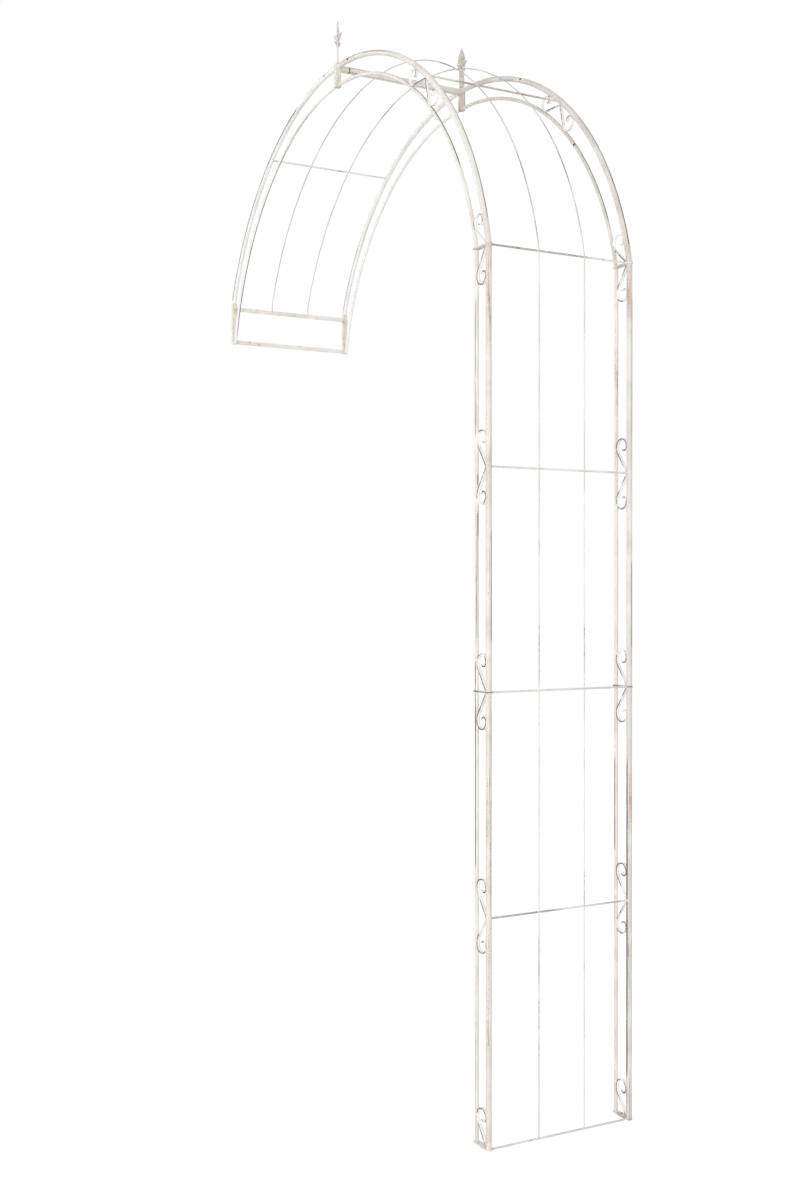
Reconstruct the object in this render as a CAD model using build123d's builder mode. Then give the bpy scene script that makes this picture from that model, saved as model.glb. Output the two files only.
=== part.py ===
"""Wall-fixed garden arch of painted iron: one latticed leg, an arch over a path and a small wall frame.

Millimetres, +Z up. The origin is on the ground, in the middle of the arch's outside box. The wall is on
the -X side and the leg stands on the +X side. People walk through along Y. The arch has two ladders, a
near one at -Y and a far one at +Y, and each ladder has an outer and an inner rail.
"""

import os
from math import acos, asin, cos, degrees, radians, sin, sqrt, tan

from build123d import *

# Layout of the arch
half_span = 698.0  # axis of the leg's outer rails to the middle of the arch
wall_advance = 35.0  # the wall face is this much nearer to the middle of the arch than the leg is
rise = 572.0  # springing line to the crown of the outer tubes
ladder_width = 45.0  # axis of an outer rail to the axis of the inner rail beside it
ladder_spacing = 347.0  # near ladder to far ladder
lower_panel_height = 909.5  # ground to the seam between the two leg panels
upper_panel_height = 890.5  # that seam to the springing line
lower_rod_height = 462.0  # ground to the middle cross rod of the lower panel
upper_rod_height = 449.5  # seam to the middle cross rod of the upper panel

# Stock that the arch is welded from
outer_rail_diameter = 12.0
outer_rail_wall = 1.5
inner_rail_diameter = 8.0
rod_diameter = 4.0
wire_diameter = 2.5
wire_spacing = 112.0
scroll_width = 6.0
scroll_thickness = 2.0
plate_thickness = 3.0
plate_overhang = 1.0  # a plate stands out this far round the outer rail on it
weld_gap = 0.1  # left between round pieces that are welded together
wire_end_gap = 1.0  # left between two wires that end on the same cross rod

# Scrolls
scroll_reach = 75.0  # plate or cross rod to the far side of the curl
scroll_slope = 35.0  # degrees between the straight arm and the rail
scroll_corner_radius = 16.0
scroll_vertex_radius = 5.0
curl_return_radius = 9.0
curl_end_radius = 6.5
curl_end_sweep = 75.0

# Crown
post_offset = 14.0  # the posts stand this far from the middle of the arch, towards the leg
post_width = 12.0
post_above = 7.0  # top of the post above the axis of the outer tube
post_below = 5.0  # bottom of the post below the axis of the inner rail
crossbar_width = 12.0
crossbar_wall = 1.5

# Finials
stem_width = 13.0
stem_thickness = 4.0
stem_height = 42.0
leaf_width = 20.0
leaf_height = 60.0
leaf_widest = 20.0  # foot of the leaf to its widest place
leaf_edge = 1.6  # thickness of the leaf at its widest edge, where it is thinnest
leaf_margin = 2.0  # the ridged shape that trims the leaf is this much wider on each side
petal_width = 9.0
petal_tip_width = 5.0
petal_thickness = 3.4
petal_tip_thickness = 2.2
petal_radius = 8.5
petal_sweep = 110.0
petal_lift = 3.0  # foot of the leaf to the root of the lowest petal
petal_pitch = 6.0  # each petal starts this much higher than the one before
pin_diameter = 8.0
pin_length = 28.0
pin_clearance = 0.08
pin_end_gap = 2.0
turning_gap = 0.3  # between a post and the finial that turns on it
finial_turns = {"near": -26.0, "far": 60.0}  # degrees from +X to the flat of the leaf

# Wall frame
upright_width = 12.0
upright_height = 112.0
wall_bar_height = 10.0
wall_bar_thickness = 5.0
upper_bar_drop = 13.0  # top of the uprights to the middle of the upper bar
lower_bar_lift = 6.0  # bottom of the uprights to the middle of the lower bar
screw_hole_diameter = 5.0
screw_spacing = 260.0
landing_bend = 60.0  # last bend of the outer tubes and wires, down onto the wall frame

# Spigots that plug the sections together
spigot_reach = 30.0
spigot_clearance = 0.4
spigot_bend = 20.0

# Places that follow from these sizes
outer_radius = outer_rail_diameter / 2
inner_radius = inner_rail_diameter / 2
rod_radius = rod_diameter / 2
wire_radius = wire_diameter / 2
bore_radius = outer_radius - outer_rail_wall
spigot_radius = bore_radius - spigot_clearance
scroll_half = scroll_thickness / 2
plate_width = outer_rail_diameter + 2 * plate_overhang

seam_z = lower_panel_height
springing_z = seam_z + upper_panel_height
seam_rod_z = seam_z + plate_thickness / 2
springing_rod_z = springing_z - plate_thickness / 2
ladders = {"near": -ladder_spacing / 2, "far": ladder_spacing / 2}
wire_rows = (-wire_spacing / 2, wire_spacing / 2)

arch_radius = (half_span**2 + rise**2) / (2 * rise)
arch_z = springing_z + rise - arch_radius
inner_arch_radius = arch_radius - ladder_width
wire_arch_radius = arch_radius + rod_radius + wire_radius + weld_gap
springing_angle = degrees(asin((springing_z - arch_z) / arch_radius))
leg_wire_top = springing_rod_z - wire_end_gap / 2
arch_wire_bottom = springing_rod_z + wire_end_gap / 2

# The furthest out on the leg's side are the plates, or the arch's wires where they start
plate_outside = outer_radius + plate_overhang
wire_outside = sqrt((wire_arch_radius + wire_radius) ** 2 - (arch_wire_bottom - arch_z) ** 2) - half_span
reach = 2 * half_span - wall_advance  # wall face to the axis of the leg's outer rails
wall_x = -(reach + max(plate_outside, wire_outside)) / 2
leg_x = wall_x + reach
inner_leg_x = leg_x - ladder_width
wire_leg_x = leg_x + rod_radius + wire_radius + weld_gap
arch_x = leg_x - half_span

post_x = arch_x + post_offset
leg_post_face = post_x + post_width / 2
wall_post_face = post_x - post_width / 2
post_top = arch_z + sqrt(arch_radius**2 - post_offset**2) + post_above
post_bottom = arch_z + sqrt(inner_arch_radius**2 - post_offset**2) - post_below
crossbar_half = abs(post_offset) + crossbar_width / 2
crossbar_top = arch_z + sqrt((wire_arch_radius - wire_radius) ** 2 - crossbar_half**2) - weld_gap

landing_x = wall_x + upright_width / 2
landing_angle = degrees(acos((landing_x + landing_bend - arch_x) / (arch_radius - landing_bend)))
upright_top = arch_z + (arch_radius - landing_bend) * sin(radians(landing_angle))
upright_bottom = upright_top - upright_height
upright_front = wall_x + upright_width
upper_bar_z = upright_top - upper_bar_drop
lower_bar_z = upright_bottom + lower_bar_lift
wire_landing_x = wall_x + wall_bar_thickness / 2
wire_bend_x = wire_landing_x + landing_bend
wire_landing_angle = degrees(acos((wire_bend_x - arch_x) / (wire_arch_radius - landing_bend)))

leg_rod_angle = (springing_angle + 90) / 2
wall_rod_angle = (90 + landing_angle) / 2
run_out = 3.0  # degrees that a curved piece is made too long before its end is cut square


def save(piece, name):
    """Label a finished piece and write it to a file of its own."""
    piece.label = name
    export_step(piece, f"parts/{name}.step")


def ladder_plane(y):
    """Upright plane through the middle of a ladder or a wire row, with X to the right and Z up."""
    return Plane.XZ.offset(-y)


def arch_point(radius, angle):
    """Point at this radius and angle about the middle of the arch, in the plane of a ladder."""
    return (arch_x + radius * cos(radians(angle)), arch_z + radius * sin(radians(angle)))


def square_to(line):
    """Plane square to the start of a line, for the section that is swept along it."""
    return Plane(origin=line @ 0, z_dir=line % 0)


def leg_rail(x, y, bottom, top, radius, bore):
    """Upright rail of the leg, a tube where it has a bore and a bar where the bore is zero."""
    with BuildPart() as rail:
        with BuildSketch(Plane.XY.offset(bottom)):
            with Locations((x, y)):
                Circle(radius)
                if bore:
                    Circle(bore, mode=Mode.SUBTRACT)
        extrude(amount=top - bottom)
    return rail.part


def ladder_plate(y, bottom, hole):
    """Flat plate with round ends across the end of a ladder, with a hole where a spigot passes through it."""
    with BuildPart() as plate:
        with BuildSketch(Plane.XY.offset(bottom)):
            with Locations((leg_x - ladder_width / 2, y)):
                SlotCenterToCenter(ladder_width, plate_width)
            if hole:
                with Locations((leg_x, y)):
                    Circle(bore_radius, mode=Mode.SUBTRACT)
        extrude(amount=plate_thickness)
    return plate.part


def plate_rod(z):
    """Straight cross rod between the plates of the near and the far ladder."""
    with BuildPart() as rod:
        with BuildSketch(Plane.XZ.offset(-(ladder_spacing - plate_width) / 2)):
            with Locations((leg_x, z)):
                Circle(rod_radius)
        extrude(amount=ladder_spacing - plate_width)
    return rod.part


def leg_rod(z):
    """Cross rod whose ends are shaped to the sides of the leg's outer rails."""
    with BuildPart() as rod:
        with BuildSketch(Plane.XZ.offset(-ladder_spacing / 2)):
            with Locations((leg_x, z)):
                Circle(rod_radius)
        extrude(amount=ladder_spacing)
        with Locations(*((leg_x, y, z) for y in ladders.values())):
            Cylinder(outer_radius + weld_gap, 2 * rod_diameter, mode=Mode.SUBTRACT)
    return rod.part


def arch_rod(angle):
    """Cross rod of the arch, with its ends shaped to the sides of the outer tubes."""
    with BuildPart() as rod:
        with BuildSketch(Plane.XZ.offset(-ladder_spacing / 2)):
            with Locations(arch_point(arch_radius, angle)):
                Circle(rod_radius)
        extrude(amount=ladder_spacing)
        with Locations(*((arch_x, y, arch_z) for y in ladders.values())):
            Torus(arch_radius, outer_radius + weld_gap, rotation=(90, 0, 0), mode=Mode.SUBTRACT)
    return rod.part


def leg_wires(bottom, top):
    """Pair of straight lattice wires on the outside of the leg's cross rods."""
    with BuildPart() as wires:
        with BuildSketch(Plane.XY.offset(bottom)):
            with Locations(*((wire_leg_x, y) for y in wire_rows)):
                Circle(wire_radius)
        extrude(amount=top - bottom)
    return wires.part


def leg_arch_piece(y, path_radius, radius, bore):
    """Tube or bar of the quarter beside the leg, from the springing plate to the post of the crown."""
    with BuildPart() as quarter:
        with BuildLine(ladder_plane(y)) as path:
            CenterArc(
                (arch_x, arch_z), path_radius, springing_angle - run_out, 90 - springing_angle + run_out
            )
        with BuildSketch(square_to(path.line)):
            Circle(radius)
            if bore:
                Circle(bore, mode=Mode.SUBTRACT)
        sweep()
        split(bisect_by=Plane.XY.offset(springing_z), keep=Keep.TOP)
        split(bisect_by=Plane.YZ.offset(leg_post_face), keep=Keep.TOP)
    return quarter.part


def wall_outer_tube(y):
    """Outer tube of the quarter beside the wall, bent down at its end onto the wall frame's upright."""
    with BuildPart() as tube:
        with BuildLine(ladder_plane(y)) as path:
            CenterArc((arch_x, arch_z), arch_radius, 90 - run_out, landing_angle - 90 + run_out)
            CenterArc(
                arch_point(arch_radius - landing_bend, landing_angle),
                landing_bend,
                landing_angle,
                180 - landing_angle,
            )
        with BuildSketch(square_to(path.wire())):
            Circle(outer_radius)
            Circle(bore_radius, mode=Mode.SUBTRACT)
        sweep()
        split(bisect_by=Plane.YZ.offset(wall_post_face), keep=Keep.BOTTOM)
    return tube.part


def wall_inner_bar(y):
    """Inner bar of the quarter beside the wall, cut off where it meets the front of the upright."""
    with BuildPart() as bar:
        with BuildLine(ladder_plane(y)) as path:
            CenterArc((arch_x, arch_z), inner_arch_radius, 90 - run_out, 90 + run_out)
        with BuildSketch(square_to(path.line)):
            Circle(inner_radius)
        sweep()
        split(bisect_by=Plane.YZ.offset(wall_post_face), keep=Keep.BOTTOM)
        split(bisect_by=Plane.YZ.offset(upright_front), keep=Keep.TOP)
        split(bisect_by=Plane.XY.offset(upright_bottom), keep=Keep.TOP)
    return bar.part


def scroll(plane, sides, start, bend_radius=None):
    """Scroll of flat strip in a ladder: straight arms from the outer rail to the inner one, then curls.

    The plane's x runs along the outer rail and its y points at the inner rail. sides holds 1, -1 or both,
    the ways along the rail that the scroll goes. start is where a single arm begins, and bend_radius is
    the radius of the outer rail where the rail is curved.
    """
    outer_seat = outer_radius + scroll_half + weld_gap
    inner_seat = ladder_width - inner_radius - scroll_half - weld_gap
    curl_radius = (inner_seat - outer_seat) / 2
    run_end = scroll_reach - scroll_half - curl_radius
    slope = radians(scroll_slope)
    vertex = outer_seat - scroll_vertex_radius * (1 / cos(slope) - 1)

    def on_rail(along, across):
        """Point along and across the ladder, which may be curved."""
        if bend_radius is None:
            return (along, across)
        turn = along / bend_radius
        return ((bend_radius - across) * sin(turn), bend_radius - (bend_radius - across) * cos(turn))

    def arm(side):
        """Corner and end of the arm on one side."""
        foot = (0.0, vertex) if len(sides) > 1 else (start, outer_seat)
        corner = foot[0] + (inner_seat - foot[1]) / tan(slope)
        return [on_rail(side * corner, inner_seat), on_rail(side * run_end, inner_seat)]

    def curl(end, heading, way):
        """Curl back towards the outer rail and in again."""
        back = JernArc(end, heading, curl_radius, way * 180)
        inward = JernArc(back @ 1, back % 1, curl_return_radius, way * 90)
        JernArc(inward @ 1, inward % 1, curl_end_radius, way * curl_end_sweep)

    with BuildPart() as piece:
        with BuildLine(plane) as path:
            if len(sides) > 1:
                up, down = arm(1), arm(-1)
                points = [down[1], down[0], on_rail(0.0, vertex), up[0], up[1]]
                radii = [scroll_corner_radius, scroll_vertex_radius, scroll_corner_radius]
            else:
                points = [on_rail(sides[0] * start, outer_seat)] + arm(sides[0])
                radii = [scroll_corner_radius]
            arms = FilletPolyline(*points, radius=radii)
            if 1 in sides:
                curl(arms @ 1, arms % 1, -1)
                if -1 in sides:
                    curl(arms @ 0, -(arms % 0), 1)
            else:
                curl(arms @ 1, arms % 1, 1)
        strip_end = square_to(path.wire())
        with BuildSketch(Plane(strip_end.origin, x_dir=plane.z_dir, z_dir=strip_end.z_dir)):
            Rectangle(scroll_width, scroll_thickness)
        sweep()
    return piece.part


def leg_scroll(y, z, sides, start=0.0):
    """Scroll in the leg, at the height of a plate or a cross rod."""
    plane = Plane(origin=(leg_x, y, z), x_dir=(0, 0, 1), z_dir=(0, -1, 0))
    return scroll(plane, sides, start)


def arch_scroll(y, angle, sides, start=0.0):
    """Scroll in the curved ladder beside the leg."""
    x, z = arch_point(arch_radius, angle)
    turn = radians(angle)
    plane = Plane(origin=(x, y, z), x_dir=(-sin(turn), 0, cos(turn)), z_dir=(0, -1, 0))
    return scroll(plane, sides, start, arch_radius)


def finial(y, turn):
    """Spear-leaf finial: flat stem, ridged leaf, four curled petals and the round pin that it turns on."""
    up = Vector(0, 0, 1)
    along = Vector(cos(radians(turn)), sin(radians(turn)), 0)
    across = up.cross(along)
    foot = Vector(post_x, y, post_top)
    flat = Plane(origin=foot, x_dir=along, z_dir=-across)
    leaf_tip = stem_height + leaf_height
    roof_width = leaf_width + 2 * leaf_margin
    roof_edge = stem_thickness - (stem_thickness - leaf_edge) * roof_width / leaf_width
    with BuildPart() as piece:
        with BuildSketch(flat):
            with BuildLine():
                Line((-stem_width / 2, stem_height), (stem_width / 2, stem_height))
                ThreePointArc(
                    (stem_width / 2, stem_height),
                    (leaf_width / 2, stem_height + leaf_widest),
                    (0, leaf_tip),
                )
                ThreePointArc(
                    (-stem_width / 2, stem_height),
                    (-leaf_width / 2, stem_height + leaf_widest),
                    (0, leaf_tip),
                )
            make_face()
        extrude(amount=stem_thickness / 2, both=True)
        with BuildSketch(Plane(origin=foot, x_dir=along, z_dir=up)):
            Polygon(
                (-roof_width / 2, -roof_edge / 2),
                (0, -stem_thickness / 2),
                (roof_width / 2, -roof_edge / 2),
                (roof_width / 2, roof_edge / 2),
                (0, stem_thickness / 2),
                (-roof_width / 2, roof_edge / 2),
                align=None,
            )
        extrude(amount=leaf_tip, mode=Mode.INTERSECT)
        with BuildSketch(flat):
            with Locations((0, turning_gap)):
                Rectangle(stem_width, stem_height - turning_gap, align=(Align.CENTER, Align.MIN))
        extrude(amount=stem_thickness / 2, both=True)
        side_root = stem_width / 2 - petal_thickness
        petals = ((-along, side_root), (-across, 0.0), (along, side_root), (across, 0.0))
        for step, (outward, root) in enumerate(petals):
            hinge_line = outward.cross(up)
            with BuildLine(Plane(origin=foot, x_dir=outward, z_dir=hinge_line)) as curl:
                JernArc(
                    (root, stem_height + petal_lift + step * petal_pitch), (0, 1), petal_radius, -petal_sweep
                )
            for end, thickness, width in (
                (0, petal_thickness, petal_width),
                (1, petal_tip_thickness, petal_tip_width),
            ):
                heading = curl.line % end
                with BuildSketch(Plane(curl.line @ end, x_dir=heading.cross(hinge_line), z_dir=heading)):
                    Rectangle(thickness, width)
            sweep(multisection=True)
        with BuildSketch(Plane(origin=foot + up * turning_gap)):
            Circle(pin_diameter / 2)
        extrude(amount=-pin_length - turning_gap)
    return piece.part


os.makedirs("parts", exist_ok=True)

# Rails, plates and scrolls of the leg, for each ladder
lower_rail_bottom = plate_thickness
upper_rail_bottom = seam_z + plate_thickness
upper_rail_top = springing_z - plate_thickness
leg_panels = {"lower": (lower_rail_bottom, seam_z), "upper": (upper_rail_bottom, upper_rail_top)}
arm_start = scroll_half + weld_gap
outer_seat_rise = (outer_radius + scroll_half + weld_gap) * tan(radians(springing_angle))
for ladder, row in ladders.items():
    for panel, (low, high) in leg_panels.items():
        save(leg_rail(leg_x, row, low, high, outer_radius, bore_radius), f"{ladder}_{panel}_outer_rail")
        save(leg_rail(inner_leg_x, row, low, high, inner_radius, 0), f"{ladder}_{panel}_inner_rail")
    save(ladder_plate(row, 0.0, hole=False), f"{ladder}_foot_plate")
    save(ladder_plate(row, seam_z, hole=True), f"{ladder}_seam_plate")
    save(ladder_plate(row, upper_rail_top, hole=True), f"{ladder}_springing_plate")
    save(leg_scroll(row, lower_rail_bottom, (1,), arm_start), f"{ladder}_foot_scroll")
    save(leg_scroll(row, lower_rod_height, (1, -1)), f"{ladder}_lower_scroll")
    save(leg_scroll(row, seam_z, (-1,), arm_start), f"{ladder}_lower_end_scroll")
    save(leg_scroll(row, upper_rail_bottom, (1,), arm_start), f"{ladder}_upper_start_scroll")
    save(leg_scroll(row, seam_z + upper_rod_height, (1, -1)), f"{ladder}_upper_scroll")
    save(leg_scroll(row, upper_rail_top, (-1,), arm_start), f"{ladder}_upper_end_scroll")

# Tubes, bars and scrolls of the arch, for each ladder
for ladder, row in ladders.items():
    save(leg_arch_piece(row, arch_radius, outer_radius, bore_radius), f"{ladder}_leg_arch_outer_tube")
    save(leg_arch_piece(row, inner_arch_radius, inner_radius, 0), f"{ladder}_leg_arch_inner_bar")
    save(wall_outer_tube(row), f"{ladder}_wall_arch_outer_tube")
    save(wall_inner_bar(row), f"{ladder}_wall_arch_inner_bar")
    save(arch_scroll(row, springing_angle, (1,), arm_start + outer_seat_rise), f"{ladder}_arch_start_scroll")
    save(arch_scroll(row, leg_rod_angle, (1, -1)), f"{ladder}_arch_scroll")

# Cross rods
save(plate_rod(rod_radius), "foot_rod")
save(leg_rod(lower_rod_height), "lower_rod")
save(plate_rod(seam_rod_z), "seam_rod")
save(leg_rod(seam_z + upper_rod_height), "upper_rod")
save(plate_rod(springing_rod_z), "springing_rod")
save(arch_rod(leg_rod_angle), "leg_arch_rod")
save(arch_rod(wall_rod_angle), "wall_arch_rod")

# Lattice wires, a pair in each section
save(leg_wires(rod_radius, seam_rod_z - wire_end_gap / 2), "lower_wires")
save(leg_wires(seam_rod_z + wire_end_gap / 2, leg_wire_top), "upper_wires")

with BuildPart() as leg_arch_wires:
    for row in wire_rows:
        with BuildLine(ladder_plane(row)) as route:
            CenterArc((arch_x, arch_z), wire_arch_radius, 0, 90)
        with BuildSketch(square_to(route.line)):
            Circle(wire_radius)
        sweep()
    split(bisect_by=Plane.XY.offset(arch_wire_bottom), keep=Keep.TOP)
    split(bisect_by=Plane.YZ.offset(post_x + wire_end_gap / 2), keep=Keep.TOP)
save(leg_arch_wires.part, "leg_arch_wires")

with BuildPart() as wall_arch_wires:
    for row in wire_rows:
        with BuildLine(ladder_plane(row)) as route:
            CenterArc((arch_x, arch_z), wire_arch_radius, 90 - run_out, wire_landing_angle - 90 + run_out)
            bend = CenterArc(
                arch_point(wire_arch_radius - landing_bend, wire_landing_angle),
                landing_bend,
                wire_landing_angle,
                180 - wire_landing_angle,
            )
            Line(bend @ 1, Vector(wire_landing_x, row, upper_bar_z + wall_bar_height / 2))
        with BuildSketch(square_to(route.wire())):
            Circle(wire_radius)
        sweep()
    split(bisect_by=Plane.YZ.offset(post_x - wire_end_gap / 2), keep=Keep.BOTTOM)
save(wall_arch_wires.part, "wall_arch_wires")

# Crown: posts, cross bar and finials
for ladder, row in ladders.items():
    with BuildPart() as post:
        with BuildSketch(Plane.XY.offset(post_bottom)):
            with Locations((post_x, row)):
                Rectangle(post_width, post_width)
        extrude(amount=post_top - post_bottom)
        with BuildSketch(Plane.XY.offset(post_top)):
            with Locations((post_x, row)):
                Circle(pin_diameter / 2 + pin_clearance)
        extrude(amount=-(pin_length + pin_end_gap), mode=Mode.SUBTRACT)
    save(post.part, f"{ladder}_crown_post")
    save(finial(row, finial_turns[ladder]), f"{ladder}_finial")

with BuildPart() as crossbar:
    with BuildSketch(Plane.XZ.offset(-(ladder_spacing - post_width) / 2)):
        with Locations((post_x, crossbar_top - crossbar_width / 2)):
            Rectangle(crossbar_width, crossbar_width)
            hollow_width = crossbar_width - 2 * crossbar_wall
            Rectangle(hollow_width, hollow_width, mode=Mode.SUBTRACT)
    extrude(amount=ladder_spacing - post_width)
save(crossbar.part, "crown_crossbar")

# Wall frame
for ladder, row in ladders.items():
    with BuildPart() as upright:
        with BuildSketch(Plane.XY.offset(upright_bottom)):
            with Locations((landing_x, row)):
                Rectangle(upright_width, upright_width)
        extrude(amount=upright_height)
    save(upright.part, f"{ladder}_wall_upright")

wall_bar_length = ladder_spacing - upright_width
for level, middle in {"upper": upper_bar_z, "lower": lower_bar_z}.items():
    with BuildPart() as wall_bar:
        with BuildSketch(Plane.YZ.offset(wall_x)):
            with Locations((0, middle)):
                Rectangle(wall_bar_length, wall_bar_height)
            with Locations((-screw_spacing / 2, middle), (screw_spacing / 2, middle)):
                Circle(screw_hole_diameter / 2, mode=Mode.SUBTRACT)
        extrude(amount=wall_bar_thickness)
    save(wall_bar.part, f"wall_{level}_bar")

# Spigots inside the outer tubes: at the seam of the leg, at the springing line and at the crown
crown_spigot_x = wall_post_face - spigot_reach / 2
crown_spigot_z = arch_z + sqrt(arch_radius**2 - (crown_spigot_x - arch_x) ** 2)
springing_spigot_end = arch_point(arch_radius, springing_angle + degrees(spigot_reach / arch_radius))
with BuildPart() as spigots:
    for row in ladders.values():
        with BuildSketch(Plane.XY.offset(seam_z - spigot_reach)):
            with Locations((leg_x, row)):
                Circle(spigot_radius)
        extrude(amount=2 * spigot_reach)
        with BuildLine(ladder_plane(row)) as route:
            FilletPolyline(
                (leg_x, springing_z - spigot_reach),
                (leg_x, springing_z),
                springing_spigot_end,
                radius=spigot_bend,
            )
        with BuildSketch(square_to(route.wire())):
            Circle(spigot_radius)
        sweep()
        with BuildSketch(Plane.YZ.offset(wall_post_face)):
            with Locations((row, crown_spigot_z)):
                Circle(spigot_radius)
        extrude(amount=-spigot_reach)
save(spigots.part, "joint_spigots")
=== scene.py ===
"""Looks of a wall-fixed garden arch in rubbed cream paint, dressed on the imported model.

Metres, +Z up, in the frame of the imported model. The wall is on the -X side, the leg on the +X side, and
people walk through along Y. The near ladder is at -Y and the far one at +Y.
"""

import logging
import math
from collections.abc import Callable
from dataclasses import dataclass, field
from enum import Enum
from functools import partial, reduce

import bmesh
import bpy
from mathutils import Matrix, Vector, noise


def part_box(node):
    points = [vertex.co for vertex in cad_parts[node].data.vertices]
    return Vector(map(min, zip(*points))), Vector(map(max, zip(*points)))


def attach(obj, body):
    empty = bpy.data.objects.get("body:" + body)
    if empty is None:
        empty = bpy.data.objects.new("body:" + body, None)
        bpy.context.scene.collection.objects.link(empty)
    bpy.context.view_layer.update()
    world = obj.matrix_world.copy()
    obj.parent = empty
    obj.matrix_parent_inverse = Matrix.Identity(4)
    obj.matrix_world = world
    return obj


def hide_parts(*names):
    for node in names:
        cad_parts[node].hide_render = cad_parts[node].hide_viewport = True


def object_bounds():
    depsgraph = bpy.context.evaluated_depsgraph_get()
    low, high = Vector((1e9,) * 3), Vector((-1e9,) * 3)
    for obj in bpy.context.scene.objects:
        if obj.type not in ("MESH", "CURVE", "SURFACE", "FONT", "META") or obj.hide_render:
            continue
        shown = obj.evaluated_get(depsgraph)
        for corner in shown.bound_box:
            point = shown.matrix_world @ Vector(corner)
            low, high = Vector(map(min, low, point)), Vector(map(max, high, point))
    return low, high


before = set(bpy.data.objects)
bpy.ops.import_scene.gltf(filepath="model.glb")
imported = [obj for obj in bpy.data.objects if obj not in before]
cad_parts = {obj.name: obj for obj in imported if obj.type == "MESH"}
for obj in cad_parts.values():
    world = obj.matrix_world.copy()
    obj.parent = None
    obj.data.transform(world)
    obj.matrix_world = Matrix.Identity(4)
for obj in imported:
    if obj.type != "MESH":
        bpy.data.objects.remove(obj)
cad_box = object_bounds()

log = logging.getLogger("garden_arch")

Colour = tuple[float, float, float, float]
Pair = tuple[float, float]
Triple = tuple[float, float, float]
Socket = bpy.types.NodeSocket
Value = Socket | float

SIDES = ("near", "far")
PANELS = ("lower", "upper")
UP = Vector((0.0, 0.0, 1.0))
ACROSS = Vector((0.0, 1.0, 0.0))
TO_LEG = Vector((1.0, 0.0, 0.0))
BEAD_SEED = 3

# Scrolls of the leg from the ground up, with the ways that the arms of each one go from its root
LEG_SCROLLS = {
    "foot": (1,),
    "lower": (1, -1),
    "lower_end": (-1,),
    "upper_start": (1,),
    "upper": (1, -1),
    "upper_end": (-1,),
}
RODS = ("foot_rod", "lower_rod", "seam_rod", "upper_rod", "springing_rod", "leg_arch_rod", "wall_arch_rod")


class Slot(Enum):
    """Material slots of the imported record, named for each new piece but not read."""

    FRAME = "frame_paint"
    WIRE = "wire_paint"
    SCROLL = "scroll_paint"
    FINIAL = "finial_paint"


class Body(Enum):
    """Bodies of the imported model."""

    ARCH = "arch"
    NEAR_FINIAL = "near_finial"
    FAR_FINIAL = "far_finial"


class Run(Enum):
    """Way that the marks in a paint run."""

    ALL_ROUND = "all round"
    UPRIGHT = "up a rail"
    CROSSWISE = "along a cross rod"
    ROUND_ARCH = "round the arch"


def shade(red: int, green: int, blue: int) -> Colour:
    """Turn an sRGB colour into a linear one, by the constants of the sRGB curve.

    Args:
        red: red part, 0 to 255.
        green: green part, 0 to 255.
        blue: blue part, 0 to 255.

    Returns:
        The linear colour, opaque.
    """
    parts = []
    for part in (red, green, blue):
        share = part / 255
        parts.append(share / 12.92 if share <= 0.04045 else ((share + 0.055) / 1.055) ** 2.4)
    return (parts[0], parts[1], parts[2], 1.0)


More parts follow.
